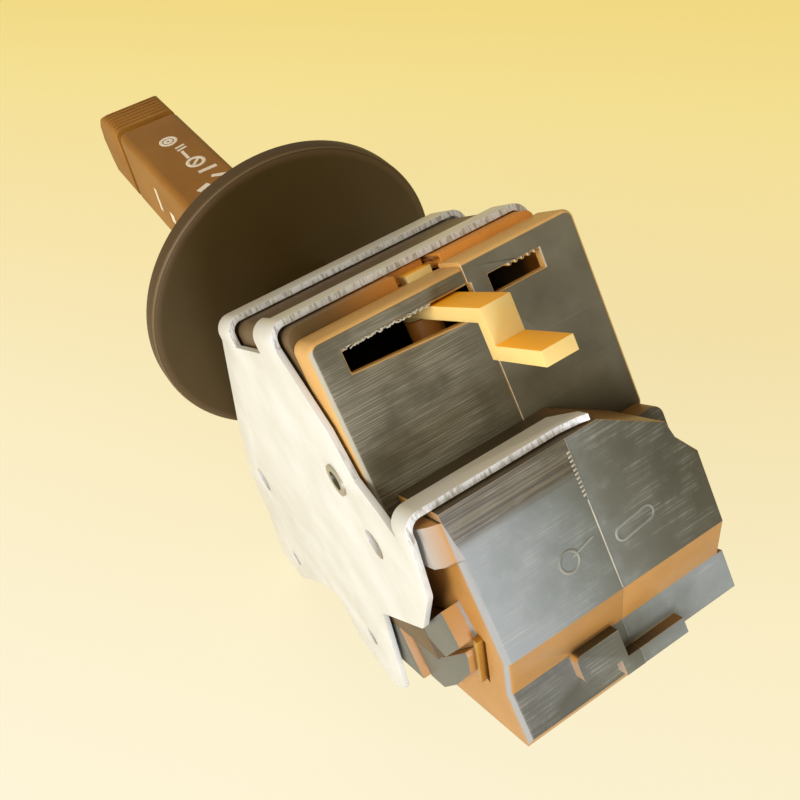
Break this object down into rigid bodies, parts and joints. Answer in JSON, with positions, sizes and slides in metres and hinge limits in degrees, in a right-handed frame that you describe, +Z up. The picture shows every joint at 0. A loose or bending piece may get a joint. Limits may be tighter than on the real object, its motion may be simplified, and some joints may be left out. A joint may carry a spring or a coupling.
{
  "type": "indicator stalk switch",
  "caption": "Steering column indicator switch: a stalk with a round shroud and push button, a plated bracket, a moulded switch housing and a connector at the rear.",
  "frame": {"origin": "centre of the round shroud, on the stalk side of the housing", "axes": "+Y along the stalk towards its tip, +Z up, +X across, away from the bracket's full side plate"},
  "size_m": [0.074, 0.2349, 0.1261],
  "materials": {
    "plated_steel": "zinc plated sheet, striated cut edges",
    "eyelet": "bright",
    "housing_plastic": "moulded, fine grain",
    "stalk_plastic": "fine grain with white symbols",
    "shroud_plastic": "smooth satin",
    "carrier_plastic": "natural",
    "lever_plastic": "waxy, cream",
    "board": "laminate",
    "brass": "stamped",
    "bronze": "sprung strip",
    "steel": "turned",
    "spring_steel": "wire"
  },
  "bodies": {
    "housing": {"mounting_bracket": "plated_steel", "bracket_rivets": "eyelet", "base_housing": "housing_plastic", "left_cover": "housing_plastic", "right_cover": "housing_plastic", "connector_housing_left": "housing_plastic", "connector_housing_right": "housing_plastic", "side_terminal": "brass", "terminal_blades": "brass", "turn_pivot_pins": "steel", "detent_plate": "carrier_plastic", "contact_board": "board", "fixed_contacts": "brass", "cancel_pivot_pin": "steel", "cancel_spring": "bronze"},
    "carrier": {"turn_carrier": "carrier_plastic", "dip_pin": "steel", "detent_spring": "spring_steel", "dip_return_spring": "bronze"},
    "plunger": {"detent_plunger": "steel"},
    "carriage": {"contact_slider": "carrier_plastic", "slider_contacts": "bronze"},
    "stalk": {"stalk_shank": "stalk_plastic", "stalk_pin": "steel", "shroud_disc": "shroud_plastic", "stalk_shell": "stalk_plastic", "button_spring": "spring_steel", "horn_contacts": "bronze"},
    "button": {"end_button": "stalk_plastic"},
    "striker": {"cancel_lever": "lever_plastic"}
  },
  "joints": [
    {"name": "turn", "type": "hinge", "parent": "housing", "child": "carrier", "pos_m": [0, -0.05818, -0.00275], "axis": [0, 0.527, 0.8499], "range_deg": [-9, 9]},
    {"name": "dip", "type": "hinge", "parent": "carrier", "child": "stalk", "pos_m": [0, -0.0546, -0.0045], "axis": [1, 0, 0], "range_deg": [-4, 5], "stiffness_Nm_per_rad": 15},
    {"name": "detent_press", "type": "slide", "parent": "carrier", "child": "plunger", "axis": [0, 0.8499, -0.527], "range_m": [0, 0.0012], "stiffness_N_per_m": 500, "deforming": ["detent_spring"]},
    {"name": "carriage_slide", "type": "slide", "parent": "housing", "child": "carriage", "axis": [1, 0, 0], "range_m": [-0.00245, 0.00245]},
    {"name": "button_press", "type": "slide", "parent": "stalk", "child": "button", "axis": [0, -1, 0], "range_m": [0, 0.0025], "stiffness_N_per_m": 400, "deforming": ["button_spring"]},
    {"name": "lever_swing", "type": "hinge", "parent": "housing", "child": "striker", "pos_m": [-0.00095, -0.06107, 0.03434], "axis": [0, 0.527, 0.8499], "range_deg": [-6, 6], "stiffness_Nm_per_rad": 0.05}
  ],
  "couplings": [
    {"joint": "carriage_slide", "follows": "turn", "m_per_rad": 0.0155}
  ]
}
